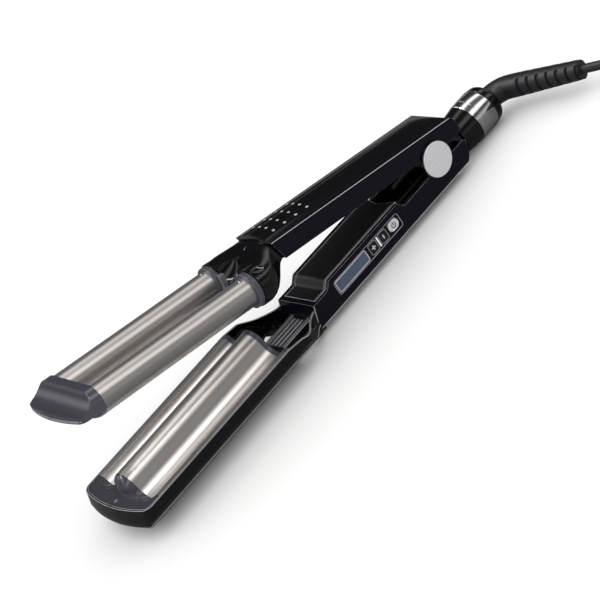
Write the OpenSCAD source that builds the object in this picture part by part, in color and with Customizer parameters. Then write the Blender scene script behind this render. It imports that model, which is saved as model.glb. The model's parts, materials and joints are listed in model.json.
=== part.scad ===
// Triple-barrel hair waver: two heated barrels on the upper arm close into a
// trough-hump-trough heated plate on the lower arm.
// Frame: +X to the tips, +Y to the display side, +Z up, floor at z = 0,
// hinge axis along Y above the origin. Drawn with the arms open.
// Millimetres.

/* [Arms] */
// height of the hinge axis above the floor
pivot_z = 23; // [20:0.5:30]
// angle between the arms when open
open_angle = 12.7; // [8:0.1:16]
// half width of both handles
handle_hw = 17; // [14:0.5:22]
// front end of the handles at their inner faces
handle_front = 116.3; // [90:1:140]
// rear end of the handles
handle_rear = -23; // [-35:1:-18]
// wall of the handle frames
wall = 2.5; // [1.5:0.1:4]

/* [Hot section] */
// barrel radius
barrel_r = 8.5; // [6:0.5:16]
// sideways offset of each barrel
barrel_y = 18.3; // [14:0.1:30]
// barrel axis height above the hinge axis with the arms closed
barrel_z = 1.64; // [0:0.1:4]
// visible barrel start
barrel_x0 = 147.6; // [130:1:180]
// visible barrel end
barrel_x1 = 254.7; // [200:1:320]
// gap between barrel and trough when closed
nest_gap = 0.6; // [0.3:0.1:1.5]
// radius of the centre hump
hump_r = 9.2; // [6:0.1:14]
// hump centre height relative to the hinge axis
hump_z = -2; // [-6:0.1:2]
// half width of the trough shell
shell_hw = 32.2; // [26:0.1:45]
// front of the lip that joins the barrel ends
lip_x = 274.5; // [266:0.5:276]
// height of the trough shell rim relative to the hinge axis
rim_z = -1.6; // [-4:0.1:0]

/* [Hinge] */
// hinge pin radius
pin_r = 3; // [2:0.1:5]
// radius of the round trim discs over the pin ends
disc_r = 10.4; // [8:0.1:14]
// running clearance in the bushes
running = 0.05; // [0.02:0.01:0.1]

/* [Cord swivel] */
// height of the cord axis relative to the hinge axis
cord_z = -9.8; // [-14:0.1:-6]
// outer radius of the bright collar
collar_r = 13.2; // [10:0.1:16]
// front edge of the bright collar
collar_x = -39.4; // [-50:0.1:-30]
// length of the bright collar
collar_len = 14.4; // [8:0.1:24]
// bend of the strain relief
cord_bend = 70; // [0:1:90]

/* [Controls] */
// height of the row of controls relative to the hinge axis
panel_z = -7.9; // [-10:0.1:-6]
// height of the control opening
panel_h = 8.6; // [6:0.1:11]
// display window, rear and front
display_x = [71, 97.6];
// key centres from the front: up, down, power
key_x = [65, 56, 46.6];
// key sizes, along and across
key_size = [[5.8, 6.6], [4.6, 6.6], [8.2, 6.4]];
// key travel
key_travel = 0.6; // [0.3:0.1:1]

/* [Output] */
// piece to draw

/* [Hidden] */

$fn = 96;
small = 32;
// overlap that makes touching shapes one solid
eps = 0.01;

black = [0.03, 0.03, 0.035];
satin_black = [0.08, 0.08, 0.09];
cap_grey = [0.28, 0.27, 0.31];
ring_grey = [0.36, 0.35, 0.40];
titanium = [0.62, 0.60, 0.57];
chrome = [0.80, 0.80, 0.82];
steel = [0.60, 0.61, 0.63];
ceramic = [0.90, 0.89, 0.84];

// half width inside the handle frames
cavity_hw = handle_hw - wall;
// parting heights between frame and cover
lower_part = -17.5;
upper_part = 16.1;
// underside of the upper arm and crown top
upper_inner = 4.1;
upper_crown = 19.7;
// crown radii from chord and rise
function crown_r(half, rise) = (half * half + rise * rise) / (2 * rise);
lower_crown_r = crown_r(handle_hw, 6.2);
upper_crown_r = crown_r(handle_hw, upper_crown - 16.5);
// the trough shell section is a flat-bottomed arc
shell_arc_r = 41.2;
shell_arc_z = 17.7;
shell_wall = 3;
shell_tip = 277;
// the shell leaves the handle at neck_x and reaches full width neck_len further on
neck_x = 117;
neck_len = 23;
// bow radius of the front ends
front_bow = 100;
trough_r = barrel_r + nest_gap;
band_x0 = 149;
plate_x0 = 152;
plate_x1 = 258;
flange_hw = 29.1;
// centre of the round barrel ends and of their seats
seat_x = 256;
// cross screw of the lower tip cap
cap_screw_x = 269;
// barrel sockets of the yoke and the rings in front of them
socket_x = 135;
socket_r = 11;
ring_x = 144.2;
ring_r = 10.5;
bore_r = barrel_r + 0.05;
flange_z = rim_z - 0.2;
// tangent line joining hump and trough
tan_a = atan2(barrel_z - hump_z, barrel_y)
  + acos((hump_r + trough_r) / norm([barrel_y, barrel_z - hump_z]));
swivel_r = 8;
// nose of the collar sleeve inside the handle
nose_r = 9;
// bend radius of the cord at the strain relief
elbow_r = 13;
// rear face of the keys at rest, and gap left under a pressed key
key_rear = 13.6;
key_gap = 0.5;
// underside of the heated plate
plate_base = -9.2;
// strain relief: outer radius at the elbow, last rib radius, rib spacing and count
relief_r = 7.2;
relief_end_r = 6;
rib_pitch = 6.6;
rib_count = 6;
// the rear wall of the upper frame backs the rounded end of the crown
rear_wall = 6;
lower_screw_x = [30, 100];
upper_screw_x = [30, 106];
collar_end = collar_x - collar_len;

// height blend with flat ends, t from 0 to 1
function ease(t) = (1 - cos(180 * min(1, max(0, t)))) / 2;
// half width of the trough shell in plan at x
function flare(x) = handle_hw - 0.5
  + (shell_hw - handle_hw + 0.5) * ease((x - neck_x) / neck_len);

// lower and upper arm placement
module lower() { translate([0, 0, pivot_z]) children(); }
module upper() { lower() rotate([0, -open_angle, 0]) children(); }
// extrude a (Y, Z) section along X, or an (X, Z) profile along Y
module along_x(a, b) { translate([a, 0, 0]) rotate([90, 0, 90]) linear_extrude(b - a) children(); }
module along_y(a, b) { translate([0, b, 0]) rotate([90, 0, 0]) linear_extrude(b - a) children(); }
module rod_x(a, b, r) { translate([a, 0, 0]) rotate([0, 90, 0]) cylinder(r = r, h = b - a); }
module rod_y(a, b, r) { translate([0, b, 0]) rotate([90, 0, 0]) cylinder(r = r, h = b - a); }
module box(a, b) { translate(a) cube(b - a); }
module both_sides() {
  children();
  mirror([0, 1, 0]) children();
}
module barrels() { for (s = [-1, 1]) translate([0, s * barrel_y, barrel_z]) children(); }
module slot2d(w, h, r) {
  square([w - 2 * r, h], center = true);
  square([w, h - 2 * r], center = true);
  for (i = [-1, 1], j = [-1, 1]) translate([i * (w / 2 - r), j * (h / 2 - r)]) circle(r, $fn = small);
}

// cross-recess screw, head face at z = 0 and shank upwards; slot is the half width of the cross
module cross_screw(head_r, head_h, shank_r, shank_h, slot) {
  difference() {
    union() {
      cylinder(r = head_r, h = head_h, $fn = small);
      translate([0, 0, head_h - 0.05]) cylinder(r = shank_r, h = shank_h, $fn = small);
    }
    for (a = [0, 90]) rotate([0, 0, a]) box([-0.62 * head_r, -slot, -1], [0.62 * head_r, slot, 0.5]);
  }
}

// plan outline with a bowed front whose corners are rounded; apex at x = 0
module bow2d(w, bow, r, back) {
  cx = sqrt((bow - r) * (bow - r) - (w - r) * (w - r)) - bow;
  y_t = (w - r) * bow / (bow - r);
  intersection() {
    translate([-bow, 0]) circle(bow, $fn = 240);
    translate([back, -y_t]) square([-back, 2 * y_t]);
  }
  translate([back, -w]) square([cx - back, 2 * w]);
  for (s = [-1, 1]) translate([cx, s * (w - r)]) circle(r, $fn = small);
}

// ---- lower handle ----

module lower_section() {
  intersection() {
    translate([-handle_hw, -pivot_z]) square([2 * handle_hw, pivot_z + 1]);
    translate([0, lower_part + sqrt(pow(lower_crown_r, 2) - pow(handle_hw, 2))]) circle(lower_crown_r);
  }
  translate([-handle_hw, lower_part]) square([2 * handle_hw, -lower_part + 1]);
}

module lower_profile() {
  polygon(concat(
    [[handle_rear, -5.8], [-20, -14.6], [-17, lower_part], [-11, -pivot_z], [116, -pivot_z],
     [121.6, lower_part], [handle_front, -4]],
    [for (i = [0:8]) [105 - 6 * i / 8, -4 + 4 * ease(i / 8)]],
    [[37.5, 0], [34, -4.6], [-21.5, -4.6]]));
}

module lower_body() {
  intersection() {
    along_x(handle_rear, 122) lower_section();
    along_y(-handle_hw, handle_hw) lower_profile();
  }
}

module lower_side_frame() {
  color(black) lower() {
    difference() {
      intersection() {
        lower_body();
        box([-30, -20, lower_part + 0.05], [130, 20, 5]);
      }
      box([handle_rear + wall, -cavity_hw, -30], [113, cavity_hw, 5]);
      // the upper ears turn inside these round reliefs
      rod_y(-20, 20, 9.3);
      collar_socket();
      box([110, -9.2, -17], [130, 9.2, -11.3]);
      // control opening
      box([41.4, 10, panel_z - panel_h / 2], [98.8, 20, panel_z + panel_h / 2]);
    }
    // hinge ears on a cross web
    difference() {
      both_sides() hinge_ear();
      rod_y(-20, 20, pin_r + 0.02);
    }
    // cross ribs that take the cover screws
    for (x = lower_screw_x) difference() {
      box([x - 4, -cavity_hw - eps, lower_part + 0.05], [x + 4, cavity_hw + eps, -14.5]);
      translate([x, 0, -20]) cylinder(r = 1.3, h = 10, $fn = small);
    }
  }
}

// round seat for the nose of the collar sleeve
module collar_socket() { translate([0, 0, cord_z]) rod_x(-30, -15, nose_r + 0.1); }

module hinge_ear() {
  translate([0, 11, 0]) rotate([-90, 0, 0]) cylinder(r = 7, h = 2.9);
  box([-7, 11, -17], [7, 13.9, 0]);
  box([-7, 11, lower_part + 0.05], [7, cavity_hw + 0.5, -15]);
}

module lower_bottom_cover() {
  color(black) lower() difference() {
    intersection() {
      lower_body();
      box([-30, -20, -30], [130, 20, lower_part]);
    }
    box([-14, -11, -20.4], [112, 11, 0]);
    collar_socket();
    for (x = lower_screw_x) translate([x, 0, -30]) {
      cylinder(r = 1.5, h = 20, $fn = small);
      cylinder(r = 3.1, h = 8.6, $fn = small);
    }
  }
}

module cover_outline() {
  polygon(concat(
    [for (i = [0:8]) [105 - 6 * i / 8, -4 + 4 * ease(i / 8)]],
    [[35.8, 0], [35.8, -2], [98, -2]],
    [for (i = [8:-1:0]) [104.5 - 6 * i / 8, -6 + 4 * ease(i / 8)]],
    [[112.9, -6], [112.9, -4]]));
}

module lower_inner_cover() {
  color(satin_black) lower() difference() {
    along_y(-cavity_hw + 0.1, cavity_hw - 0.1) cover_outline();
    // chevron at the rear end
    translate([33, 0, -3]) linear_extrude(6) polygon([[0, -16], [2.8, -15], [6, 0], [2.8, 15], [0, 16]]);
  }
}

// ---- controls ----

module key2d(i) {
  if (i == 2) {
    oval2d(key_size[i][0], key_size[i][1]);
  } else {
    slot2d(key_size[i][0], key_size[i][1], 1);
  }
}

module oval2d(w, h) {
  square([w - h, h], center = true);
  for (s = [-1, 1]) translate([s * (w - h) / 2, 0]) circle(h / 2, $fn = small);
}

module key(i) {
  color(i == 2 ? chrome : satin_black) lower() translate([key_x[i], 0, panel_z]) {
    along_y(14, 16.7) key2d(i);
    along_y(key_rear, 14.4) square(key_size[i] + [0.8, 0.6], center = true);
    if (i < 2) along_y(16.7 - eps, 16.85) {
      square([2.4, 0.6], center = true);
      if (i == 0) square([0.6, 2.4], center = true);
    }
  }
}

module plus_button() { key(0); }
module minus_button() { key(1); }
module power_button() { key(2); }

module control_bezel() {
  color(satin_black) lower() difference() {
    translate([70.1, 0, panel_z]) along_y(14.55, 16.6) slot2d(57.2, panel_h - 0.2, 1.4);
    for (i = [0:2]) translate([key_x[i], 0, panel_z]) along_y(10, 20)
      square(key_size[i] + [0.3, 0.3], center = true);
    box([display_x[0] - 0.1, 10, panel_z - 3.7], [display_x[1] + 0.1, 20, panel_z + 3.7]);
    box([59.8, 16, panel_z - 3.4], [60.8, 20, panel_z + 3.4]);
  }
}

module divider_bar() {
  color(ceramic) lower() box([59.85, 16.02, panel_z - 3.35], [60.75, 16.8, panel_z + 3.35]);
}

module display_lens() {
  color([0.30, 0.38, 0.46]) lower()
    box([display_x[0], 15.4, panel_z - 3.6], [display_x[1], 16.7, panel_z + 3.6]);
}

module display_module() {
  color([0.16, 0.20, 0.24]) lower()
    box([display_x[0] + 0.4, 10.3, panel_z - 3.5], [display_x[1] - 0.4, 15.3, panel_z + 3.5]);
}

module control_board() {
  color([0.05, 0.25, 0.12]) lower() box([40, 9, -13.6], [98, 10.25, -3]);
}

module key_switches() {
  color(steel) lower() for (x = key_x) translate([x, 0, panel_z]) {
    along_y(10.3, 11.9) square([4, 4], center = true);
    rod_y(11.9 - eps, key_rear - key_travel - key_gap, 1);
  }
}

// ---- lower hot section ----

module shell_section(r, w, low) {
  intersection() {
    translate([-w, low]) square([2 * w, -low + 2]);
    translate([0, shell_arc_z]) circle(r, $fn = 200);
  }
}

// right half of the plan outline: flared neck, straight side, rounded corner, bow
function plan_half(inset) =
  let (n = 12, r = 6 - inset / 2, w = shell_hw - inset, tip = shell_tip - inset * 5 / 3,
    bow = front_bow, c = tip - bow + sqrt(pow(bow - r, 2) - pow(w - r, 2)),
    turn = atan2(w - r, c - tip + bow))
  concat(
    [for (i = [0:n]) let (x = neck_x + neck_len * i / n) [x, flare(x) - inset]],
    [for (i = [0:5]) let (a = 90 - (90 - turn) * i / 5) [c + r * cos(a), w - r + r * sin(a)]],
    [for (i = [1:7]) let (a = turn * (1 - i / 8)) [tip - bow + bow * cos(a), bow * sin(a)]]);

module shell_plan(inset) {
  half = plan_half(inset);
  tip = [[shell_tip - inset * 5 / 3, 0]];
  polygon(concat(half, tip, [for (i = [len(half) - 1:-1:0]) [half[i][0], -half[i][1]]]));
}

module shell_side_profile() {
  polygon(concat(
    [[116.5, -pivot_z], [121.9, lower_part], [118, -7]],
    [for (i = [0:6]) [129.2 + 16.8 * i / 6, -7 + (7 + rim_z) * ease(i / 6)]],
    [[shell_tip - 2.8, rim_z], [shell_tip + 0.5, -9.5], [shell_tip - 4, -15], [shell_tip - 16, -pivot_z]]));
}

module trough_shell() {
  color(black) lower() difference() {
    intersection() {
      along_x(116, shell_tip + 1) shell_section(shell_arc_r, shell_hw + 1, -pivot_z);
      translate([0, 0, -30]) linear_extrude(40) shell_plan(0);
      along_y(-40, 40) shell_side_profile();
    }
    // cavity, stepped up at the front to seat the tip cap
    intersection() {
      along_x(110, shell_tip + 1) shell_section(shell_arc_r - shell_wall, shell_hw, -21);
      translate([0, 0, -30]) linear_extrude(40) shell_plan(shell_wall);
      along_y(-40, 40) polygon([[110, -20], [262, -20], [262, -12], [shell_tip + 1, -12],
        [shell_tip + 1, 1], [110, 1]]);
    }
    // see-through openings each side of the bridge
    both_sides() translate([0, 0, -30]) linear_extrude(30)
      polygon([[122, 9.6], [141, 9.6], [141, 20], [134, 22], [127, 15], [122, 12.6]]);
  }
}

module neck_bridge() {
  color(satin_black) lower() {
    box([106, -9.1, -16.9], [148.8, 9.1, -12.5]);
    box([124, -6, -19.9], [146, 6, -16.8]);
    for (s = [-1, 1]) box([119, s * 7.5 - 0.9, -12.6], [148.8, s * 7.5 + 0.9, -11.4]);
    for (y = [-3.6, 0, 3.6]) box([121, y - 0.5, -12.6], [146, y + 0.5, -11.8]);
    // saddle that carries the plate end
    box([143, -20, -14.5], [148.8, 20, -10.2]);
  }
}

// point on a tangent line between hump and trough, just inside the circle of
// radius r centred at c, on the side the sign d gives
function tangent_point(c, r, d) = c + d * (r - 0.05) * [cos(tan_a), sin(tan_a)];

// wave form from x = a to b: trough, hump, trough
module wave(a, b) {
  top = tangent_point([0, hump_z], hump_r, 1);
  foot = tangent_point([barrel_y, barrel_z], trough_r, -1);
  difference() {
    union() {
      box([a, -26.8, plate_base], [b, 26.8, flange_z]);
      box([a, -flange_hw, flange_z - 2], [b, flange_hw, flange_z]);
      // hump, cut off level with the underside
      intersection() {
        translate([0, 0, hump_z]) rod_x(a, b, hump_r);
        box([a - 1, -20, plate_base], [b + 1, 20, 10]);
      }
      along_x(a, b) polygon([[-foot[0], -6], [-foot[0], foot[1]], [-top[0], top[1]],
        [top[0], top[1]], foot, [foot[0], -6]]);
    }
    barrels() rod_x(a - 1, b + 1, trough_r);
  }
}

module wave_plate() {
  color(titanium) lower() difference() {
    wave(plate_x0, plate_x1);
    box([160, -5.2, -10], [250, 5.2, -3.9]);
  }
}

module plate_end_band() {
  color(ring_grey) lower() wave(band_x0, plate_x0 - 0.1);
}

module lower_tip_cap() {
  color(cap_grey) lower() difference() {
    union() {
      intersection() {
        translate([0, 0, -6.3]) linear_extrude(4.3) shell_plan(shell_wall + 0.1);
        box([plate_x1 + 0.1, -flange_hw, -10], [290, flange_hw, 0]);
      }
      box([plate_x1 + 0.1, -26.4, -9.6], [266, 26.4, -2.5]);
      translate([plate_x1 + 0.1, 0, hump_z]) rotate([0, 90, 0])
        cylinder(r1 = hump_r, r2 = hump_r / 2, h = hump_r / 2);
    }
    barrels() translate([seat_x, 0, 0]) sphere(trough_r + 0.4);
    translate([cap_screw_x, 0, 0]) {
      translate([0, 0, -3.4]) cylinder(r = 1.9, h = 5, $fn = small);
      translate([0, 0, -8]) cylinder(r = 0.95, h = 6, $fn = small);
    }
  }
}

module cap_screw() {
  color(steel) lower() translate([cap_screw_x, 0, -2.25]) rotate([180, 0, 0])
    cross_screw(1.8, 1.1, 0.9, 2.9, 0.2);
}

module plate_heater() {
  color(ceramic) lower() box([166, -5, -6.4], [244, 5, -4]);
}

module heater_clamp() {
  color(steel) lower() {
    box([166, -4.8, -8.4], [244, 4.8, -7.6]);
    for (x = [170, 204, 238]) box([x, -4, -7.7], [x + 3, 4, -7.0]);
  }
}

module insulation_sheet() {
  color([0.72, 0.66, 0.50]) lower() {
    box([163, -5, -6.95], [247, 5, -6.5]);
    box([154, -24, -10.4], [256, 24, -9.4]);
  }
}

module thermal_sensor() {
  color([0.5, 0.2, 0.1]) lower() {
    translate([0, 8, -11.8]) rod_x(196, 203, 1.3);
    translate([0, -8, -12.2]) rod_x(180, 194, 1.7);
  }
}

// ---- hinge ----

module pivot_pin() {
  color(steel) lower() difference() {
    rod_y(-17, 17, pin_r);
    rod_y(-18, -12.5, 1.55);
    rod_y(12.5, 18, 1.55);
  }
}

module pivot_disc_left() {
  color(chrome) lower() {
    rod_y(17.15, 18.65, disc_r);
    rod_y(13, 17.2, 1.5);
  }
}

module pivot_disc_right() { mirror([0, 1, 0]) pivot_disc_left(); }

module disc_rings() {
  color(black) lower() both_sides() difference() {
    rod_y(17.1, 18.2, disc_r + 1);
    rod_y(17, 19, disc_r + 0.1);
  }
}

module torsion_spring() {
  color(steel) lower() {
    for (i = [-3:3]) translate([0, i * 1.85, 0]) rotate([90, 0, 0])
      rotate_extrude() translate([4.6, 0]) circle(0.95, $fn = 24);
    translate([0, 5.55, 4.6]) rod_x(0, 10.5, 0.8);
    translate([0, -5.55, -4.6]) rod_x(0, 22, 0.8);
  }
}

module pivot_bushes() {
  color([0.75, 0.65, 0.35]) lower() both_sides() difference() {
    rod_y(14.2, 16.9, 4.6);
    rod_y(14, 17, pin_r + running);
  }
}

module lower_wiring() {
  color(satin_black) lower()
    for (y = [-3, 3]) translate([0, y, -12.5]) rod_x(-24, 104, 0.9);
}

module lower_screws() {
  color(steel) lower() for (x = lower_screw_x) translate([x, 0, -22.6]) cross_screw(2.9, 1.15, 1.25, 6, 0.3);
}

// ---- cord end ----

module at_cord() { lower() translate([0, 0, cord_z]) children(); }

module collar_sleeve() {
  color(black) at_cord() difference() {
    union() {
      rod_x(-26, -16, nose_r);
      translate([-26, 0, 0]) rotate([0, -90, 0]) cylinder(r1 = 11.8, r2 = 12.9, h = -collar_x - 26);
      rod_x(collar_end + 0.5, collar_x + 1, 11.4);
    }
    rod_x(-70, -10, 6);
    rod_x(collar_end - 1, collar_x - 2, swivel_r + running + 0.02);
  }
}

module chrome_ring() {
  color(chrome) at_cord() difference() {
    rod_x(collar_end, collar_x - 0.1, collar_r);
    rod_x(collar_end - 1, collar_x + 1, 11.45);
  }
}

module swivel_cap() {
  color(black) at_cord() difference() {
    union() {
      translate([collar_end - 0.3, 0, 0]) rotate([0, -90, 0]) cylinder(r1 = 12.9, r2 = 12.2, h = 4);
      translate([collar_end - 4.3, 0, 0]) rotate([0, -90, 0]) cylinder(r1 = 12.2, r2 = 9.6, h = 3);
      rod_x(collar_end - 4, collar_x - 3, swivel_r);
      rod_x(-46, -31, 2.3);
    }
    rod_x(-80, -46, 5.2);
  }
}

module slip_rings() {
  color([0.80, 0.60, 0.30]) at_cord() for (x = [-37.6, -34.6]) difference() {
    rod_x(x, x + 1.8, 5.6);
    rod_x(x - 1, x + 3, 2.4);
  }
}

// elbow, then a ribbed taper along the bent direction
module relief_frame() {
  translate([collar_end - 7.3, elbow_r, 0]) rotate([0, 0, -cord_bend]) translate([0, -elbow_r, 0]) children();
}

module strain_relief() {
  color(satin_black) at_cord() difference() {
    union() {
      rod_x(collar_end - 8, collar_end - 0.5, 5.1);
      translate([collar_end - 7.3, elbow_r, 0]) rotate([0, 0, 270 - cord_bend])
        rotate_extrude(angle = cord_bend) translate([elbow_r, 0]) circle(relief_r, $fn = 48);
      relief_frame() rotate([0, -90, 0]) {
        cylinder(r1 = relief_r, r2 = relief_r - 0.2, h = 8);
        translate([0, 0, 8]) cylinder(r1 = relief_r - 1.6, r2 = relief_end_r - 1.6, h = 42);
        for (i = [0:rib_count - 1]) translate([0, 0, 10.4 + rib_pitch * i])
          cylinder(r = relief_r + (relief_end_r - relief_r) * (i + 1) / rib_count, h = rib_pitch - 2);
      }
    }
    relief_frame() rod_x(-60, -4, 2.85);
  }
}

module power_cord() {
  color(black) at_cord() relief_frame() rod_x(-64, -5, 2.8);
}

// ---- upper arm ----

module upper_profile() {
  polygon(concat(
    [[-18, upper_inner], [handle_front - 0.1, upper_inner], [121.4, 16.5], [121.4, 21]],
    [for (i = [0:8]) [-2 - 19.5 * sin(90 * i / 8), 12.6 + 7.2 * cos(90 * i / 8)]],
    [[handle_rear, 7.6], [handle_rear + 1.5, 5.4]]));
}

module upper_body() {
  intersection() {
    along_x(-25, 122) intersection() {
      translate([-handle_hw, 0]) square([2 * handle_hw, 22]);
      translate([0, upper_crown - upper_crown_r]) circle(upper_crown_r, $fn = 200);
    }
    along_y(-20, 20) upper_profile();
  }
}

module upper_side_frame() {
  color(black) upper() difference() {
    union() {
      difference() {
        intersection() {
          upper_body();
          box([-30, -20, 0], [130, 20, upper_part - 0.05]);
        }
        box([handle_rear + rear_wall, -cavity_hw, 0], [113.5, cavity_hw, 30]);
      }
      both_sides() rod_y(14.2, 16.95, 8.6);
    }
    rod_y(-20, 20, 4.65);
    // wire passage into the yoke
    box([110, -9, 7], [130, 9, 14]);
  }
}

module vents() {
  for (i = [0:3], j = [-1.5, -0.5, 0.5, 1.5])
    translate([87 + 8.5 * i, 6.3 * j, 10]) cylinder(r = 0.75, h = 15, $fn = small);
}

module upper_top_cover() {
  color(black) upper() {
    difference() {
      intersection() {
        upper_body();
        box([-30, -20, upper_part], [130, 20, 30]);
      }
      box([-10, -cavity_hw, 10], [112, cavity_hw, 17.4]);
      vents();
    }
    for (x = upper_screw_x) translate([x, 0, 7]) difference() {
      cylinder(r = 3, h = 11, $fn = small);
      translate([0, 0, -1]) cylinder(r = 1.3, h = 9, $fn = small);
    }
  }
}

module upper_inner_cover() {
  color(satin_black) upper() difference() {
    box([12, -cavity_hw + 0.1, upper_inner], [113.4, cavity_hw - 0.1, upper_inner + 2]);
    for (x = upper_screw_x) translate([x, 0, 0]) {
      cylinder(r = 1.5, h = 10, $fn = small);
      cylinder(r = 3, h = 5.4, $fn = small);
    }
  }
}

module upper_screws() {
  color(steel) upper() for (x = upper_screw_x) translate([x, 0, 4.3]) cross_screw(2.8, 1.05, 1.25, 8, 0.3);
}

module upper_yoke() {
  color(black) upper() difference() {
    union() {
      // web between the handle and the sockets
      intersection() {
        linear_extrude(60, center = true)
          polygon([[116, -15.5], [123, -15.5], [136, -25], [143.8, -25],
            [143.8, 25], [136, 25], [123, 15.5], [116, 15.5]]);
        along_y(-30, 30)
          polygon([[116.6, 4.5], [122, 17.4], [126, 17], [143.8, 9.5],
            [143.8, -7.5], [136, -7.5], [126, -1.5], [118, 4.5]]);
      }
      barrels() rod_x(socket_x, ring_x - 0.1, socket_r);
    }
    barrels() rod_x(socket_x - 0.7, ring_x + 5, bore_r);
    // scoops between the sockets, above and below
    translate([147, 0, 17]) sphere(11.5);
    translate([0, 0, -9]) rod_x(130, 150, 7);
    box([110, -8, 7.2], [132, 8, 13.2]);
  }
}

module neck_rings() {
  color(ring_grey) upper() barrels() difference() {
    rod_x(ring_x, barrel_x0, ring_r);
    rod_x(ring_x - 4, barrel_x0 + 2, bore_r);
  }
}

module barrel(side) {
  color(titanium) upper() translate([0, side * barrel_y, barrel_z]) difference() {
    rod_x(socket_x - 0.5, barrel_x1 - 0.05, barrel_r);
    rod_x(130, 260, barrel_r - 1.2);
  }
}

module barrel_left() { barrel(1); }
module barrel_right() { barrel(-1); }

module heater_carriers() {
  color(steel) upper() barrels() difference() {
    rod_x(158, 246, barrel_r - 1.3);
    box([150, -10, -1.65], [250, 10, 1.65]);
  }
}

module barrel_heaters() {
  color(ceramic) upper() barrels() box([160, -5, -1.6], [244, 5, 1.6]);
}

module barrel_sensor() {
  color([0.5, 0.2, 0.1]) upper() translate([0, barrel_y, barrel_z]) rod_x(149, 156, 1.3);
}

module yoke_post() {
  color([0.62, 0.62, 0.64]) upper() box([ring_x, -6.8, -1.5], [ring_x + 3.2, -3.4, 9]);
}

// half stadium round both barrels above, flush with them below
module cap_section() {
  intersection() {
    union() {
      for (s = [-1, 1]) translate([s * barrel_y, barrel_z]) circle(barrel_r + 1.1);
      translate([-barrel_y, barrel_z]) square([2 * barrel_y, barrel_r + 1.1]);
    }
    translate([-40, barrel_z]) square([80, 20]);
  }
  for (s = [-1, 1]) translate([s * barrel_y, barrel_z]) circle(barrel_r);
}

module upper_tip_cap() {
  color(cap_grey) upper() difference() {
    union() {
      along_x(barrel_x1, 260) cap_section();
      intersection() {
        translate([0, 0, -1.2]) linear_extrude(13) translate([lip_x, 0]) bow2d(27.4, front_bow, 5, seat_x - lip_x);
        along_x(seat_x, lip_x + 1) union() {
          cap_section();
          translate([-27.4, -1.2]) square([54.8, 4]);
          translate([-barrel_y, -1.2]) square([2 * barrel_y, 8]);
        }
      }
      barrels() translate([seat_x, 0, 0]) sphere(barrel_r);
      barrels() rod_x(249, seat_x, barrel_r - 1.3);
    }
    barrels() difference() {
      rod_x(240, barrel_x1, barrel_r + 2);
      rod_x(239, seat_x, barrel_r - 1.3);
    }
    // scooped front face
    translate([271, 0, 13.3]) rod_y(-40, 40, 11.2);
    // arch over the centre hump
    translate([0, 0, hump_z]) rod_x(250, plate_x1 + 0.6, hump_r + 0.8);
    translate([plate_x1 + 0.59, 0, hump_z]) rotate([0, 90, 0])
      cylinder(r1 = hump_r + 0.8, r2 = hump_r / 2 + 1.1, h = 5.2);
  }
}

module upper_wiring() {
  color(satin_black) upper() for (y = [-5, 5]) translate([0, y, 10.5]) rod_x(14, 131, 0.9);
}

lower_side_frame();
lower_bottom_cover();
lower_inner_cover();
control_bezel();
divider_bar();
display_lens();
display_module();
control_board();
key_switches();
plus_button();
minus_button();
power_button();
trough_shell();
neck_bridge();
wave_plate();
plate_end_band();
lower_tip_cap();
cap_screw();
plate_heater();
heater_clamp();
insulation_sheet();
thermal_sensor();
pivot_pin();
pivot_disc_left();
pivot_disc_right();
disc_rings();
torsion_spring();
lower_wiring();
lower_screws();
collar_sleeve();
chrome_ring();
swivel_cap();
slip_rings();
strain_relief();
power_cord();
upper_side_frame();
upper_top_cover();
upper_inner_cover();
upper_yoke();
barrel_left();
barrel_right();
neck_rings();
heater_carriers();
barrel_heaters();
barrel_sensor();
yoke_post();
upper_tip_cap();
pivot_bushes();
upper_screws();
upper_wiring();
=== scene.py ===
"""Looks of a triple-barrel hair waver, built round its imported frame.

Outlines and sections below are in millimetres from the hinge axis, with the arm closed:
+X to the tips, +Y to the display side, +Z up. LOWER and UPPER place them in the frame.
"""

import json
import math

import bmesh
import bpy
from mathutils import Matrix, Vector


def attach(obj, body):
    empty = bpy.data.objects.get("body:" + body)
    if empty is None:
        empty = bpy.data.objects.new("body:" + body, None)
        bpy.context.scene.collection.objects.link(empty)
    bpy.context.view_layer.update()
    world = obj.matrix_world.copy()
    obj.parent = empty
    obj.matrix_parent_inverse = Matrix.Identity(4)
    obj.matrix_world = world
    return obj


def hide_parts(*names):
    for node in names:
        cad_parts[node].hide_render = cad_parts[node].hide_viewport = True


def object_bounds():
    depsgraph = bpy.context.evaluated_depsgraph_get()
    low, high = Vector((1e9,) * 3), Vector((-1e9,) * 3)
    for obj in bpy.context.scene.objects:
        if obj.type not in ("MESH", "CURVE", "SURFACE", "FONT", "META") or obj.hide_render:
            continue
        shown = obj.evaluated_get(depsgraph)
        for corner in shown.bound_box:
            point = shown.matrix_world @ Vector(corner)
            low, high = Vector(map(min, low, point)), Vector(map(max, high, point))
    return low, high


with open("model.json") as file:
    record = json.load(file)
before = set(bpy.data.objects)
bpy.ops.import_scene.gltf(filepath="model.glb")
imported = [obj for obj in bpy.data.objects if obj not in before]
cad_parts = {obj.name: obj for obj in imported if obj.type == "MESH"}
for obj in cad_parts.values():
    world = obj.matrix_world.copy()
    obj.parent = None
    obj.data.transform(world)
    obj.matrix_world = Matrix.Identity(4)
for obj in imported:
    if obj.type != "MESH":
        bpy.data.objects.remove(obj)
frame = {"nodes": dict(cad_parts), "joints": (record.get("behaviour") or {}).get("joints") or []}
cad_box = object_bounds()
joints = {j["name"]: j for j in frame["joints"]}

# ---- placement, taken from the joints ----

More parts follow.
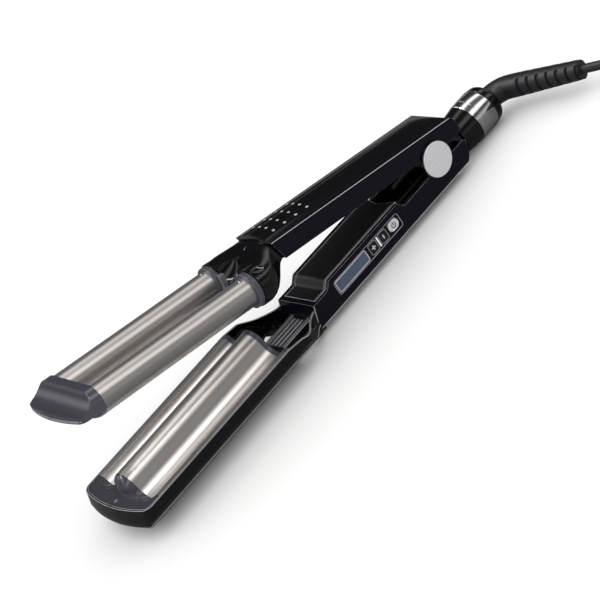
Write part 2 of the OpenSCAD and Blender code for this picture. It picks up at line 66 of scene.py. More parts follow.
MM = Matrix.Scale(0.001, 4)
HINGE = Vector(joints["arm_hinge"]["pos_m"])
OPEN_ANGLE = math.radians(max(joints["arm_hinge"]["range_deg"]))
LOWER = Matrix.Translation(HINGE) @ MM
UPPER = Matrix.Translation(HINGE) @ Matrix.Rotation(-OPEN_ANGLE, 4, "Y") @ MM
CORD_Z = (joints["cord_turn"]["pos_m"][2] - HINGE.z) * 1000

# ---- shared sizes ----

HANDLE_HW = 17.0
FLOOR_Z = -23.0

# barrels, and the plate they close into
BARREL_R = 8.5
BARREL_Y = 18.3
BARREL_Z = 1.64
BARREL_X = (147.6, 254.7)
TROUGH_R = 9.1
HUMP_R = 9.2
HUMP_Z = -2.0
PLATE_X = (152.0, 258.0)
PLATE_HW = 30.5
PLATE_BASE = -9.2
FLANGE_Z = -1.8
SEAT_X = 256.0
CAP_SCREW_X = 269.0
NOSE_LENGTH = 6.0

# trough shell
RIM_Z = -1.6
NECK_Z = -7.0
NECK_X = 117.0
SHELL_X = 140.0
SHELL_HW = 32.2
SHELL_TIP = 277.0
SHELL_WALL = 1.4
SHELL_ARC_R = 41.2
SHELL_ARC_Z = 17.7
PROW_Z = -9.5
PROW_X = 220.0
FRONT_BOW = 100.0

# upper arm
LIP_X = 274.5
LIP_HW = 27.6
SOCKET_R = 11.2
CROWN_R = 46.76
CROWN_TOP = 19.7
VENT_X = [87 + 8.5 * i for i in range(4)]
VENT_Y = [6.3 * (j - 1.5) for j in range(4)]
UPRIGHT = Matrix.Rotation(math.radians(-90), 4, "Y")

# control panel
PANEL_Z = -7.9
PANEL_Y = 17.0
KEY_X = {"plus": 65.0, "minus": 56.0, "power": 46.6}
KEY_TOP = 16.9
POWER_SIGN_Y = 16.78
COVER_LINE = 13.2

# cord end, lengths along the cord from the rear face of the swivel
ELBOW_R = 13.0
CORD_BEND = math.radians(70)
ELBOW_X = -61.1
ELBOW_END = ELBOW_R * CORD_BEND
RELIEF_START = ELBOW_END + 8.0
RELIEF_END = RELIEF_START + 42.0
RELIEF_R = (7.1, 5.9)
RIB_PITCH = 6.6
SLOT_DEPTH = 1.6
CORD_R = 2.8
CORD_END = ELBOW_END + 64.0

# strips of light: lean from overhead towards the display side, half width, strength
STRIPS = ((-16, 19, 1.6), (40, 20, 1.9), (84, 24, 0.5), (-97, 20, 0.6))
ROOM = 0.12
TIP_LIGHT = 1.5


def smoothstep(t):
    t = min(1.0, max(0.0, t))
    return t * t * (3 - 2 * t)


def lerp(a, b, t):
    return a + (b - a) * t


# ---- materials ----


def material(name, color, rough, metal=0.0, scale=400.0, stretch=(1, 1, 1), vary=0.0,
             rough_vary=0.0, bump=0.0, specular=0.5):
    """Principled finish whose colour, roughness and bump are driven by stretched noise."""
    mat = bpy.data.materials.new(name)
    mat.use_nodes = True
    nodes, links = mat.node_tree.nodes, mat.node_tree.links
    bsdf = nodes["Principled BSDF"]
    bsdf.inputs["Metallic"].default_value = metal
    bsdf.inputs["Specular IOR Level"].default_value = specular
    coords = nodes.new("ShaderNodeTexCoord")
    mapping = nodes.new("ShaderNodeMapping")
    mapping.inputs["Scale"].default_value = stretch
    links.new(coords.outputs["Object"], mapping.inputs["Vector"])
    noise = nodes.new("ShaderNodeTexNoise")
    noise.inputs["Scale"].default_value = scale
    noise.inputs["Detail"].default_value = 5
    links.new(mapping.outputs["Vector"], noise.inputs["Vector"])
    ramp = nodes.new("ShaderNodeMapRange")
    ramp.inputs["To Min"].default_value = 1 - vary
    ramp.inputs["To Max"].default_value = 1 + vary
    links.new(noise.outputs["Fac"], ramp.inputs["Value"])
    tint = nodes.new("ShaderNodeVectorMath")
    tint.operation = "SCALE"
    tint.inputs[0].default_value = color
    links.new(ramp.outputs["Result"], tint.inputs["Scale"])
    links.new(tint.outputs["Vector"], bsdf.inputs["Base Color"])
    blotch = nodes.new("ShaderNodeTexNoise")
    blotch.inputs["Scale"].default_value = scale * 0.12
    blotch.inputs["Detail"].default_value = 3
    links.new(coords.outputs["Object"], blotch.inputs["Vector"])
    wear = nodes.new("ShaderNodeMapRange")
    wear.inputs["To Min"].default_value = max(0.0, rough - rough_vary)
    wear.inputs["To Max"].default_value = min(1.0, rough + rough_vary)
    links.new(blotch.outputs["Fac"], wear.inputs["Value"])
    links.new(wear.outputs["Result"], bsdf.inputs["Roughness"])
    if bump:
        relief = nodes.new("ShaderNodeBump")
        relief.inputs["Strength"].default_value = bump
        relief.inputs["Distance"].default_value = 0.0001
        links.new(noise.outputs["Fac"], relief.inputs["Height"])
        links.new(relief.outputs["Normal"], bsdf.inputs["Normal"])
    return mat


# plastics
GLOSS = material("gloss_black", (0.003, 0.003, 0.004), 0.09, scale=900, vary=0.2,
                 rough_vary=0.03, specular=0.4)
SIDE = material("side_black", (0.0035, 0.003, 0.007), 0.20, scale=700, vary=0.15,
                rough_vary=0.04, specular=0.25)
SATIN = material("satin_black", (0.006, 0.006, 0.007), 0.36, scale=2600, vary=0.15,
                 rough_vary=0.05, bump=0.05, specular=0.35)
CAP = material("cap_grey", (0.052, 0.050, 0.066), 0.20, scale=2600, vary=0.06,
               rough_vary=0.03, bump=0.012, specular=0.8)
RING = material("ring_grey", (0.060, 0.058, 0.075), 0.30, scale=2200, vary=0.10,
                rough_vary=0.05, bump=0.04)
POST = material("post_grey", (0.15, 0.15, 0.17), 0.2, metal=0.2, scale=1200, vary=0.1,
                rough_vary=0.06, bump=0.05)
WHITE = material("bar_white", (0.92, 0.92, 0.94), 0.35, scale=900, vary=0.03, rough_vary=0.05)
CORD = material("cord_rubber", (0.012, 0.012, 0.015), 0.40, scale=1800, vary=0.2,
                rough_vary=0.08, bump=0.10)
LCD = material("lcd_glass", (0.060, 0.082, 0.125), 0.10, scale=300, vary=0.25, rough_vary=0.02)
# light grey painted on bevels and ribs as edge highlight, also the trim outlines of panel and keys;
# lighter grey beads as painted highlight lines; silver marks
EDGE_HIGHLIGHT_AND_TRIM = material("painted_edge_highlight_and_trim", (0.46, 0.46, 0.49), 0.30, scale=600, vary=0.1, rough_vary=0.05)
# light grey for thin beads laid along edges as painted highlights
HIGHLIGHT_LINE = material("painted_highlight_line", (0.60, 0.60, 0.63), 0.30, scale=600, vary=0.1, rough_vary=0.05)
MARK = material("mark_silver", (0.66, 0.67, 0.70), 0.30, metal=0.3, scale=900, vary=0.06,
                rough_vary=0.05)
# metals
TITAN = material("titanium", (0.54, 0.513, 0.495), 0.34, metal=1.0, scale=2600, vary=0.02,
                 rough_vary=0.012)
CHROME = material("bright", (0.72, 0.72, 0.73), 0.10, metal=1.0, scale=500, vary=0.03,
                  rough_vary=0.03)
BRUSHED = material("brushed_disc", (0.70, 0.70, 0.72), 0.45, metal=0.4, scale=1800,
                   stretch=(0.06, 1, 1), vary=0.14, rough_vary=0.05, bump=0.15)
STEEL = material("steel", (0.50, 0.50, 0.52), 0.28, metal=1.0, scale=900, vary=0.08,
                 rough_vary=0.06, bump=0.05)
BRASS = material("brass", (0.60, 0.42, 0.16), 0.3, metal=1.0, scale=900, vary=0.08,
                 rough_vary=0.06)
# inside parts
CERAMIC = material("ceramic", (0.75, 0.72, 0.66), 0.6, scale=1500, vary=0.06,
                   rough_vary=0.08, bump=0.1)
BOARD = material("board", (0.02, 0.11, 0.05), 0.4, scale=900, vary=0.2, rough_vary=0.1)
WIRE = material("wire", (0.02, 0.02, 0.023), 0.45, scale=1200, vary=0.1, rough_vary=0.06)
MICA = material("mica", (0.48, 0.40, 0.25), 0.5, scale=900, vary=0.15, rough_vary=0.08,
                bump=0.1)

# ---- mesh helpers ----


def loft(rings, closed=True, cap_start=True, cap_end=True):
    """Skin a run of rings that have the same number of points."""
    bm = bmesh.new()
    rows = [[bm.verts.new(p) for p in ring] for ring in rings]
    count = len(rows[0])
    for a, b in zip(rows, rows[1:]):
        for i in range(count if closed else count - 1):
            j = (i + 1) % count
            bm.faces.new((a[i], a[j], b[j], b[i]))
    if cap_start:
        bm.faces.new(reversed(rows[0]))
    if cap_end:
        bm.faces.new(rows[-1])
    bmesh.ops.recalc_face_normals(bm, faces=bm.faces)
    return bm


def lathe(profile, place=Matrix.Identity(4), steps=96):
    """Turn a closed (x, r) profile about the X axis."""
    rings = []
    for k in range(steps):
        a = 2 * math.pi * k / steps
        rings.append([place @ Vector((x, r * math.cos(a), r * math.sin(a))) for x, r in profile])
    bm = loft(rings + [rings[0]], cap_start=False, cap_end=False)
    bmesh.ops.remove_doubles(bm, verts=bm.verts, dist=1e-4)
    bmesh.ops.recalc_face_normals(bm, faces=bm.faces)
    return bm


def join(*meshes):
    out = bmesh.new()
    for bm in meshes:
        mesh = bpy.data.meshes.new("part")
        bm.to_mesh(mesh)
        bm.free()
        out.from_mesh(mesh)
        bpy.data.meshes.remove(mesh)
    return out


def soften(obj, width, sharp=32, edge=None):
    """Round the sharp edges by a width in millimetres, in material slot edge if given; that slot
    mostly holds the light grey painted edge highlight.
    """
    mod = obj.modifiers.new("bevel", "BEVEL")
    mod.width = width * 0.001
    mod.segments = 2
    mod.limit_method = "ANGLE"
    mod.angle_limit = math.radians(sharp)
    mod.harden_normals = True
    if edge is not None:
        mod.material = edge


def smooth(mesh, sharp=32):
    """Smooth shading that keeps edges above the angle sharp."""
    mesh.shade_smooth()
    mesh.set_sharp_from_angle(angle=math.radians(sharp))


def piece(name, bm, mats, place, body, replaces=(), sharp=32):
    """Make an object from a mesh in millimetres, place it and let it ride on its body."""
    mesh = bpy.data.meshes.new(name)
    bm.transform(place)
    bm.to_mesh(mesh)
    bm.free()
    for mat in mats:
        mesh.materials.append(mat)
    smooth(mesh, sharp)
    obj = bpy.data.objects.new(name, mesh)
    bpy.context.scene.collection.objects.link(obj)
    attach(obj, body)
    if replaces:
        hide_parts(*replaces)
    return obj


def refined(node, mats, body, bevel, edge=None):
    """A welded copy of a CAD node with its planar faces cleaned and its edges softened."""
    bm = bmesh.new()
    bm.from_mesh(frame["nodes"][node].data)
    bmesh.ops.remove_doubles(bm, verts=bm.verts, dist=2e-6)
    bmesh.ops.dissolve_limit(bm, angle_limit=math.radians(0.5), verts=bm.verts, edges=bm.edges)
    obj = piece("fine_" + node, bm, mats, Matrix.Identity(4), body, (node,))
    soften(obj, bevel, edge=edge)


def finish_node(node, mat):
    """Give a CAD node that stays as it is its finish."""
    obj = frame["nodes"][node]
    obj.data.materials.clear()
    obj.data.materials.append(mat)


def round_loop(points, radius, closed=True, sides=10):
    """A thin round line through points."""
    pts = [Vector(p) for p in points]
    n = len(pts)
    rings = []
    for i, p in enumerate(pts):
        ahead = pts[(i + 1) % n] if closed or i < n - 1 else p
        behind = pts[i - 1] if closed or i > 0 else p
        run = (ahead - behind).normalized()
        side = run.cross(Vector((0, 1, 0)))
        if side.length < 1e-3:
            side = run.cross(Vector((0, 0, 1)))
        side.normalize()
        up = side.cross(run)
        rings.append([p + radius * (math.cos(a) * side + math.sin(a) * up)
                      for a in (2 * math.pi * k / sides for k in range(sides))])
    if closed:
        return loft(rings + [rings[0]], cap_start=False, cap_end=False)
    return loft(rings)


def rounded_rect(cx, cz, w, h, r, y, steps=5):
    """Points of a rounded rectangle in the plane Y = y."""
    out = []
    for sx, sz, start in ((1, 1, 0), (-1, 1, 90), (-1, -1, 180), (1, -1, 270)):
        for k in range(steps + 1):
            a = math.radians(start + 90 * k / steps)
            x = cx + sx * (w / 2 - r) + r * math.cos(a)
            out.append((x, y, cz + sz * (h / 2 - r) + r * math.sin(a)))
    return out


# ---- lower arm: heated plate ----


def wave_z(y):
    """Height of the wave: trough, hump, trough, with flat flanges."""
    y = abs(y)
    top_y, foot_y = 8.5, 9.89
    hump = HUMP_Z + math.sqrt(max(0.0, HUMP_R ** 2 - min(y, top_y) ** 2))
    if y <= top_y:
        return hump
    off = min(TROUGH_R, abs(max(y, foot_y) - BARREL_Y))
    trough = BARREL_Z - math.sqrt(TROUGH_R ** 2 - off ** 2)
    if y < foot_y:
        return lerp(hump, trough, (y - top_y) / (foot_y - top_y))
    return min(trough, FLANGE_Z) if y < BARREL_Y + TROUGH_R else FLANGE_Z


def wave_section(x, lift=0.0):
    """Section of the plate at x, its top raised by lift."""
    count, hw = 160, PLATE_HW
    across = [-hw + 2 * hw * i / count for i in range(count + 1)]
    return [(x, y, wave_z(y) + lift) for y in across] + [
        (x, hw, PLATE_BASE + 5.4), (x, hw - 3, PLATE_BASE), (x, -hw + 3, PLATE_BASE),
        (x, -hw, PLATE_BASE + 5.4)]


BAND = ((149.0, -0.1), (149.3, 0.3), (151.6, 0.3), (151.9, -0.1))
piece("heated_plate", loft([wave_section(x) for x in PLATE_X]), [TITAN], LOWER,
      "lower_arm", ("wave_plate",), sharp=40)
piece("plate_band", loft([wave_section(x, lift) for x, lift in BAND]), [RING], LOWER,
      "lower_arm", ("plate_end_band",), sharp=40)

# ---- lower arm: trough shell ----


def ease(t):
    """Cosine blend with flat ends, t from 0 to 1."""
    return 0.5 - 0.5 * math.cos(math.pi * min(1, max(0, t)))


def flare(x, inset):
    """Half width of the shell's neck at x."""
    blend = ease((x - NECK_X) / (SHELL_X - NECK_X))
    return lerp(HANDLE_HW - 0.5, SHELL_HW, blend) - inset


def plan_half(inset):
    """Half outline of the shell in plan: flared neck, straight side, rounded corner, bow."""
    w, r, bow = SHELL_HW - inset, 6 - inset / 2, FRONT_BOW
    tip = SHELL_TIP - inset
    c = tip - bow + math.sqrt((bow - r) ** 2 - (w - r) ** 2)
    turn = math.atan2(w - r, c - tip + bow)
    neck = [lerp(NECK_X, SHELL_X, i / 20) for i in range(21)]
    out = [(x, flare(x, inset)) for x in neck]
    out += [(lerp(SHELL_X, c, i / 12), w) for i in range(1, 12)]
    for i in range(9):
        a = lerp(math.pi / 2, turn, i / 8)
        out.append((c + r * math.cos(a), w - r + r * math.sin(a)))
    for i in range(1, 15):
        a = turn * (1 - i / 14)
        out.append((tip - bow + bow * math.cos(a), bow * math.sin(a)))
    return out


def rim_height(x):
    """The rim climbs from the neck to its full height."""
    return lerp(NECK_Z, RIM_Z, ease((x - 129.2) / 16.8))


def tip_at(z):
    """Front of the shell at height z: a rounded prow."""
    if z > PROW_Z:
        return lerp(SHELL_TIP - 2.8, SHELL_TIP, (RIM_Z - z) / (RIM_Z - PROW_Z))
    return SHELL_TIP - 16 * ((PROW_Z - z) / (PROW_Z - FLOOR_Z)) ** 2


def shell_ring(t, inset, bottom):
    """A closed loop round the shell, t from 0 at the rim to 1 at the bottom."""
    pts = []
    for x, w in plan_half(inset):
        z = lerp(rim_height(x), bottom, t)
        reach = math.sqrt(max(0.0, (SHELL_ARC_R - inset) ** 2 - (SHELL_ARC_Z - z) ** 2))
        pull = (tip_at(z) - PROW_X) / (SHELL_TIP - PROW_X) if x > PROW_X else 1.0
        pts.append((PROW_X + (x - PROW_X) * pull, min(w, reach), z))
    return pts + [(x, -y, z) for x, y, z in reversed(pts[:-1])]


def trough_shell():
    depth = [0, 0.12, 0.24, 0.34, 0.44, 0.54, 0.64, 0.74, 0.84, 0.92, 1.0]
    outer = [shell_ring(t, 0.0, FLOOR_Z) for t in reversed(depth)]
    inner = [shell_ring(t, SHELL_WALL, -20.0) for t in depth]
    return loft(outer + inner)


def cut(obj, cutters):
    """Carve closed millimetre meshes, given in the frame, out of an object."""
    for bm in cutters:
        mesh = bpy.data.meshes.new("cutter")
        bm.to_mesh(mesh)
        bm.free()
        tool = bpy.data.objects.new("cutter", mesh)
        bpy.context.scene.collection.objects.link(tool)
        mod = obj.modifiers.new("cut", "BOOLEAN")
        mod.object = tool
        mod.solver = "EXACT"
        bpy.context.view_layer.update()
        graph = bpy.context.evaluated_depsgraph_get()
        result = bpy.data.meshes.new_from_object(obj.evaluated_get(graph))
        obj.modifiers.remove(mod)
        obj.data = result
        bpy.data.objects.remove(tool)


def opening(side):
    """Through opening beside the neck bridge."""
    plan = [(122, 9.6), (141, 9.6), (141, 20), (134, 22), (127, 15), (122, 12.6)]
    bm = loft([[(x, side * y, z) for x, y in plan] for z in (-30, 5)])
    bm.transform(LOWER)
    return bm


shell = piece("outer_shell", trough_shell(), [GLOSS, EDGE_HIGHLIGHT_AND_TRIM], LOWER, "lower_arm",
              ("trough_shell",))
cut(shell, [opening(1), opening(-1)])
smooth(shell.data, 30)
# the rounded edges take slot 1, the light grey painted edge highlight
soften(shell, 0.3, 30, edge=1)

# ---- lower arm: tip cap as a height field ----


def bridge(bm, a, b):
    """Quads between two closed rows of vertices."""
    for i in range(len(a)):
        j = (i + 1) % len(a)
        bm.faces.new((a[i], a[j], b[j], b[i]))


def grid_solid(outline_x, hw, x0, top, bottom, nx=60, ny=120, skirt=()):
    """Solid between two height fields over a plan that runs from x0 to outline_x(y)."""
    bm = bmesh.new()

    def sheet(height):
        rows = []
        for j in range(ny + 1):
            y = -hw + 2 * hw * j / ny
            run = [lerp(x0, outline_x(y), i / nx) for i in range(nx + 1)]
            rows.append([bm.verts.new((x, y, height(x, y))) for x in run])
        for a, b in zip(rows, rows[1:]):
            for i in range(nx):
                bm.faces.new((a[i], a[i + 1], b[i + 1], b[i]))
        return rows

    upper, lower = sheet(top), sheet(bottom)

    def border(rows):
        """The four edges of a sheet as one closed row."""
        front = [row[nx] for row in rows[1:]]
        rear = [row[0] for row in rows[ny - 1:0:-1]]
        return rows[0] + front + rows[ny][nx - 1::-1] + rear

    low = border(lower)
    ring = high = border(upper)
    for depth, grow in skirt:
        step = []
        for va, vb in zip(high, low):
            out = Vector((grow if va.co.x > x0 + 1 else 0, 0, 0))
            step.append(bm.verts.new(va.co.lerp(vb.co, depth) + out))
        bridge(bm, ring, step)
        ring = step
    bridge(bm, ring, low)
    bmesh.ops.recalc_face_normals(bm, faces=bm.faces)
    return bm


def bow_front(tip, w, r):
    """x of a bowed, round-cornered front at y."""
    bow = FRONT_BOW
    c = tip - bow + math.sqrt((bow - r) ** 2 - (w - r) ** 2)
    y_t = (w - r) * bow / (bow - r)

    def front(y):
        y = abs(y)
        if y <= y_t:
            return tip - bow + math.sqrt(bow ** 2 - y ** 2)
        return c + math.sqrt(max(0.0, r ** 2 - (y - w + r) ** 2))
    return front


def lower_cap_top(x, y):
    """Flat top with a seat for each barrel end, the round nose of the hump and a screw hole."""
    base = -2.0
    seat_r = TROUGH_R + 0.4
    d2 = (x - SEAT_X) ** 2 + (abs(y) - BARREL_Y) ** 2
    seat = BARREL_Z - math.sqrt(seat_r ** 2 - d2) if d2 < seat_r ** 2 else base
    run = min(1.0, (x - PLATE_X[1]) / NOSE_LENGTH)
    r = HUMP_R * math.sqrt(1 - run * run)
    nose = HUMP_Z + math.sqrt(r * r - y * y) if abs(y) < r else -20.0
    hole = 0.0 if math.hypot(x - CAP_SCREW_X, y) > 1.9 else -1.4
    return max(min(base, seat), nose) + hole


def lower_cap_bottom(x, y):
    """Flat underside that rises at the flanks to clear the shell."""
    return -9.0 + 4.0 * smoothstep((abs(y) - 26.8) / 3.4)


piece("tip_seat", grid_solid(bow_front(SHELL_TIP - 4.1, SHELL_HW - 1.5, 5.2), 30.65,
                             PLATE_X[1] + 0.1, lower_cap_top, lower_cap_bottom, nx=64, ny=180),
      [CAP], LOWER, "lower_arm", ("lower_tip_cap",), sharp=45)

# ---- upper arm: barrels, rings, tip cap ----


def barrel_profile():
    x0, x1 = BARREL_X[0] - 13, BARREL_X[1] - 0.05
    return [(x0, 7.3), (x0, BARREL_R), (x1 - 0.3, BARREL_R), (x1, BARREL_R - 0.3), (x1, 7.3)]


def at_barrel(side):
    return Matrix.Translation((0, side * BARREL_Y, BARREL_Z))


for side, label in ((1, "left"), (-1, "right")):
    piece("tube_" + label, lathe(barrel_profile(), at_barrel(side), 128), [TITAN], UPPER,
          "upper_arm", ("barrel_" + label,), sharp=40)

ring_profile = [(144.2, 8.55), (144.2, 10.3), (144.4, 10.5), (145.4, 10.5), (145.6, 10.2),
                (146.0, 10.2), (146.2, 10.4), (147.2, 10.4), (147.6, 10.0), (147.6, 8.55)]
piece("collar_rings", join(*[lathe(ring_profile, at_barrel(s)) for s in (1, -1)]), [RING], UPPER,
      "upper_arm", ("neck_rings",), sharp=40)


def cap_top(x, y):
    """Half stadium round both barrels, scooped towards a thin lip."""
    r = BARREL_R + 1.1
    over = abs(y) - BARREL_Y
    stadium = BARREL_Z + (r if over <= 0 else math.sqrt(max(0.0, r * r - over * over)))
    dx = max(-11.19, x - 271.0)
    scoop = 13.3 - math.sqrt(11.2 ** 2 - dx * dx)
    return max(min(stadium, scoop), 1.0)


def cap_bottom(x, y):
    """Domes under the barrel ends and an arch that clears the nose of the hump."""
    d2 = max(0.0, x - SEAT_X) ** 2 + (abs(y) - BARREL_Y) ** 2
    dome = BARREL_Z - math.sqrt(BARREL_R ** 2 - d2) if d2 < BARREL_R ** 2 else -1.2
    run = min(1.0, max(0.0, x - PLATE_X[1]) / (NOSE_LENGTH + 0.8))
    r = (HUMP_R + 0.6) * math.sqrt(1 - run * run)
    arch = HUMP_Z + math.sqrt(r * r - y * y) if abs(y) < r else -20.0
    return max(min(-1.2, dome), arch)


# grooves down the lip: share of its height, and how far they stand forward
lip = [(0.22, 0.0), (0.25, -0.3), (0.33, -0.3), (0.36, 0.0), (0.52, 0.0), (0.55, -0.3),
       (0.63, -0.3), (0.66, 0.0), (0.84, 0.0), (0.87, -0.3), (0.95, -0.3)]
lip_front = bow_front(LIP_X, LIP_HW, 5.0)
piece("tip_bridge", grid_solid(lip_front, LIP_HW - 0.05, BARREL_X[1], cap_top, cap_bottom,
                               nx=80, ny=170, skirt=lip),
      [CAP], UPPER, "upper_arm", ("upper_tip_cap",), sharp=45)

# thin light beads across the lip: painted highlights along its ribs
lip_highlight_lines = [round_loop([(lip_front(y) + 0.02, y, z) for y in range(-26, 27, 2)], 0.09, False)
              for z in (0.65, 0.1, -0.45)]
piece("lip_highlight_lines", join(*lip_highlight_lines), [EDGE_HIGHLIGHT_AND_TRIM], UPPER, "upper_arm", sharp=60)

# ---- upper arm: yoke ----


def inside_handle(y, z):
    return abs(y) <= 15.6 and 4.6 <= z <= 17.4 - 0.012 * y * y


def inside_sockets(y, z):
    near = (abs(y) - BARREL_Y) ** 2 + (z - BARREL_Z) ** 2 <= SOCKET_R ** 2
    return near or (abs(y) < BARREL_Y and -6.5 < z < BARREL_Z + SOCKET_R - 0.6)


def reach(inside, cy, cz, angle):
    """Furthest point of a shape along a ray."""
    best = 0.0
    for k in range(1, 400):
        d = k * 0.1
        if inside(cy + d * math.cos(angle), cz + d * math.sin(angle)):
            best = d
    return best


# stations along the yoke, and how far each has turned from handle section to socket section
YOKE_BLEND = ((118.5, 0.0), (120.5, 0.02), (123, 0.10), (126, 0.30), (129, 0.55), (132, 0.78),
              (135, 0.93), (138, 1.0), (143.9, 1.0))


def yoke_rings(count=128):
    angles = [2 * math.pi * k / count for k in range(count)]
    rear = [reach(inside_handle, 0, 10.8, a) for a in angles]
    front = [reach(inside_sockets, 0, BARREL_Z, a) for a in angles]
    rings = []
    for x, t in YOKE_BLEND:
        cz = lerp(10.8, BARREL_Z, t)
        ring = []
        for a, r0, r1 in zip(angles, rear, front):
            r = lerp(r0, r1, t)
            z = cz + r * math.sin(a)
            ring.append((x + (z - 11) * 0.22 * (1 - t) * 1.9, r * math.cos(a), z))
        rings.append(ring)
    return rings


def scoop(centre, radii):
    """Ellipsoid cutter in the upper arm."""
    bm = bmesh.new()
    bmesh.ops.create_uvsphere(bm, u_segments=64, v_segments=40, radius=1)
    bm.transform(UPPER @ Matrix.Translation(centre) @ Matrix.Diagonal((*radii, 1)))
    return bm


yoke = piece("yoke", loft(yoke_rings()), [GLOSS, EDGE_HIGHLIGHT_AND_TRIM], UPPER, "upper_arm",
             ("upper_yoke",))
cut(yoke, [scoop((148, 0, 14.5), (15, 10.5, 13.5)), scoop((150, 0, -10), (22, 9.5, 8)),
           scoop((139.5, 29, 14.5), (7, 9, 5.5)), scoop((139.5, -29, 14.5), (7, 9, 5.5))])
smooth(yoke.data, 28)
# the rounded edges take slot 1, the light grey painted edge highlight
soften(yoke, 0.3, 28, edge=1)

# ---- upper arm: vent rims and barrel studs ----

vent_profile = [(-0.25, 0.42), (0.16, 0.42), (0.24, 0.55), (0.16, 0.86), (-0.25, 0.86)]
rims = []
for vent_x in VENT_X:
    for vent_y in VENT_Y:
        crown_z = CROWN_TOP - CROWN_R + math.sqrt(CROWN_R ** 2 - vent_y ** 2)
        tilt = Matrix.Rotation(-math.asin(vent_y / CROWN_R), 4, "X")
        at_vent = Matrix.Translation((vent_x, vent_y, crown_z)) @ tilt @ UPRIGHT
        rims.append(lathe(vent_profile, at_vent, 24))
piece("vent_rims", join(*rims), [MARK], UPPER, "upper_arm", sharp=50)

studs = []
for side in (1, -1):
    turn_in = Matrix.Rotation(math.radians(-9), 4, "X")
    studs.append(lathe([(8.3, 0.01), (8.3, 0.8), (8.65, 0.7), (8.85, 0.4), (8.9, 0.01)],
                       Matrix.Translation((150.4, 0, 0)) @ at_barrel(side) @ turn_in @ UPRIGHT, 24))
piece("barrel_studs", join(*studs), [CHROME], UPPER, "upper_arm", sharp=50)

# ---- lower arm: panel lines and signs ----



def panel_loop(name, x, w, h, r, sink, radius, mat):
    """A fine rounded outline on the panel, sunk a little below its face."""
    outline = rounded_rect(x, PANEL_Z, w, h, r, PANEL_Y - sink)
    piece(name, round_loop(outline, radius), [mat], LOWER, "lower_arm", sharp=60)


panel_loop("panel_line", 69.9, 57.6, 9.0, 1.8, 0.0, 0.09, EDGE_HIGHLIGHT_AND_TRIM)
panel_loop("display_frame", 84.3, 26.8, 7.4, 1.3, 0.15, 0.17, MARK)
for name in ("plus", "minus"):
    panel_loop(name + "_outline", KEY_X[name], 6.4, 7.0, 1.2, 0.25, 0.11, EDGE_HIGHLIGHT_AND_TRIM)


def stroke(x, half_x, half_z, turned=0.0):
    """A slim rounded bar on the face of a key."""
    corner = min(half_x, half_z) * 0.6
    bm = loft([rounded_rect(0, 0, 2 * half_x * k, 2 * half_z * k, corner * k, y)
               for y, k in ((-0.2, 1.0), (0.04, 1.0), (0.09, 0.86))])
    bm.transform(Matrix.Translation((x, KEY_TOP, PANEL_Z)) @ Matrix.Rotation(turned, 4, "Y"))
    return bm


plus_bars = [stroke(KEY_X["plus"], 1.5, 0.36, turned) for turned in (0.0, math.pi / 2)]
piece("plus_sign", join(*plus_bars), [MARK], LOWER, "plus_key", sharp=50)
piece("minus_sign", stroke(KEY_X["minus"], 1.4, 0.36, math.pi / 2), [MARK], LOWER, "minus_key",
      sharp=50)
POWER_R = 1.45
power_arc = [(KEY_X["power"] + POWER_R * math.sin(a), POWER_SIGN_Y, PANEL_Z + POWER_R * math.cos(a))
             for a in (math.radians(k) for k in range(40, 321, 14))]
power_bar = [(KEY_X["power"], POWER_SIGN_Y, PANEL_Z + z) for z in (0.2, 1.1, 2.0)]
piece("power_sign", join(*[round_loop(run, 0.24, False) for run in (power_arc, power_bar)]),
      [GLOSS], LOWER, "power_key", sharp=50)

# ---- painted highlight lines: light beads laid along edges where highlights fall ----


def mirrored_lines(run, y, radius):
    """A fine line through (x, z) points on both flanks."""
    return [round_loop([(x, side * y, z) for x, z in run], radius, False) for side in (1, -1)]


def spaced(*corners, step=6.0):
    """Points along straight runs between corners."""
    out = [corners[0]]
    for (xa, za), (xb, zb) in zip(corners, corners[1:]):
        count = max(1, round(math.hypot(xb - xa, zb - za) / step))
        out += [(lerp(xa, xb, k / count), lerp(za, zb, k / count)) for k in range(1, count + 1)]
    return out


upper_run = spaced((-18.3, 16.3), (121.3, 16.3))
lower_run = spaced((-16.8, -17.5), (121.5, -17.5), (116.4, -4.1))
piece("upper_highlight_lines", join(*mirrored_lines(upper_run, HANDLE_HW, 0.14)), [HIGHLIGHT_LINE], UPPER,
      "upper_arm", sharp=60)
piece("lower_highlight_lines", join(*mirrored_lines(lower_run, HANDLE_HW, 0.14)), [HIGHLIGHT_LINE], LOWER,
      "lower_arm", sharp=60)
rim_outer = [(x, y, z + 0.02) for x, y, z in shell_ring(0.0, 0.15, FLOOR_Z)]
rim_inner = [(x, y, z + 0.02) for x, y, z in shell_ring(0.0, SHELL_WALL - 0.15, FLOOR_Z)]
crease = shell_ring(0.52, 0.0, FLOOR_Z)
rim_loops = [round_loop(run, radius) for run, radius in
             ((rim_outer, 0.12), (rim_inner, 0.10), (crease, 0.13))]
piece("rim_highlight_lines", join(*rim_loops), [HIGHLIGHT_LINE], LOWER, "lower_arm", sharp=60)

# a fine light line, a painted highlight, along each side of the inner cover, down its step
cover_run = [(lerp(39.5, 99, i / 10), 0.0) for i in range(11)]
cover_run += [(lerp(99, 105, i / 8), -4 * ease(i / 8)) for i in range(1, 9)]
cover_run += [(112.6, -4.0)]
piece("cover_highlight_lines", join(*mirrored_lines(cover_run, COVER_LINE, 0.10)), [EDGE_HIGHLIGHT_AND_TRIM], LOWER,
      "lower_arm", sharp=60)

# ---- cord end, turned about the cord axis ----

